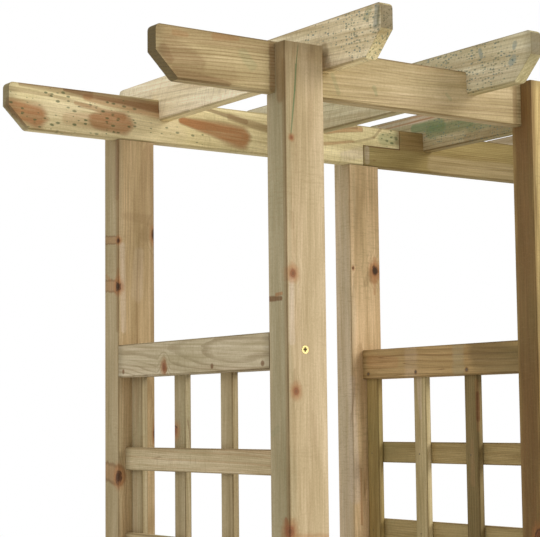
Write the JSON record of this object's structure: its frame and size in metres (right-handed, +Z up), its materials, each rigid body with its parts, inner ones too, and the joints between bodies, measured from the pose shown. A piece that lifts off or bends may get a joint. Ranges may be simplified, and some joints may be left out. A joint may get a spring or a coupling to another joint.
{
  "type": "arbour seat",
  "caption": "Timber garden seat between lattice towers with planter boxes at their feet, under a flat roof of beams and rafters.",
  "frame": {"origin": "on the ground, at the centre of the roof's outline seen from above", "axes": "+X along the beams, to the right for someone who faces the seat; +Y from the front to the back; +Z up"},
  "size_m": [2.72, 0.755, 2.072],
  "materials": {
    "softwood": "planed, pressure-treated, uncoated",
    "plated_steel": "yellow passivated"
  },
  "bodies": {
    "root": {"backrest_bottom_rail": "softwood", "backrest_slats": "softwood", "backrest_top_rail": "softwood", "beam_back_left": "softwood", "beam_back_middle": "softwood", "beam_back_right": "softwood", "beam_front_left": "softwood", "beam_front_middle": "softwood", "beam_front_right": "softwood", "bottom_rail_left_inner": "softwood", "bottom_rail_left_outer": "softwood", "bottom_rail_right_inner": "softwood", "bottom_rail_right_outer": "softwood", "lattice_cross_laths_left_inner": "softwood", "lattice_cross_laths_left_outer": "softwood", "lattice_cross_laths_right_inner": "softwood", "lattice_cross_laths_right_outer": "softwood", "lattice_uprights_left_inner": "softwood", "lattice_uprights_left_outer": "softwood", "lattice_uprights_right_inner": "softwood", "lattice_uprights_right_outer": "softwood", "long_screws": "plated_steel", "planter_back_boards_left": "softwood", "planter_back_boards_right": "softwood", "planter_floor_left": "softwood", "planter_floor_right": "softwood", "planter_front_boards_left": "softwood", "planter_front_boards_right": "softwood", "planter_inner_boards_left": "softwood", "planter_inner_boards_right": "softwood", "planter_outer_boards_left": "softwood", "planter_outer_boards_right": "softwood", "planter_rim_rails_left": "softwood", "planter_rim_rails_right": "softwood", "post_left_inner_back": "softwood", "post_left_inner_front": "softwood", "post_left_outer_back": "softwood", "post_left_outer_front": "softwood", "post_right_inner_back": "softwood", "post_right_inner_front": "softwood", "post_right_outer_back": "softwood", "post_right_outer_front": "softwood", "rafter_1": "softwood", "rafter_2": "softwood", "rafter_3": "softwood", "rafter_4": "softwood", "rafter_5": "softwood", "rafter_6": "softwood", "rafter_7": "softwood", "rafter_8": "softwood", "seat_bearers": "softwood", "seat_centre_legs": "softwood", "seat_rails": "softwood", "seat_slats": "softwood", "short_screws": "plated_steel", "top_rail_left_inner": "softwood", "top_rail_left_outer": "softwood", "top_rail_right_inner": "softwood", "top_rail_right_outer": "softwood"}
  },
  "joints": []
}
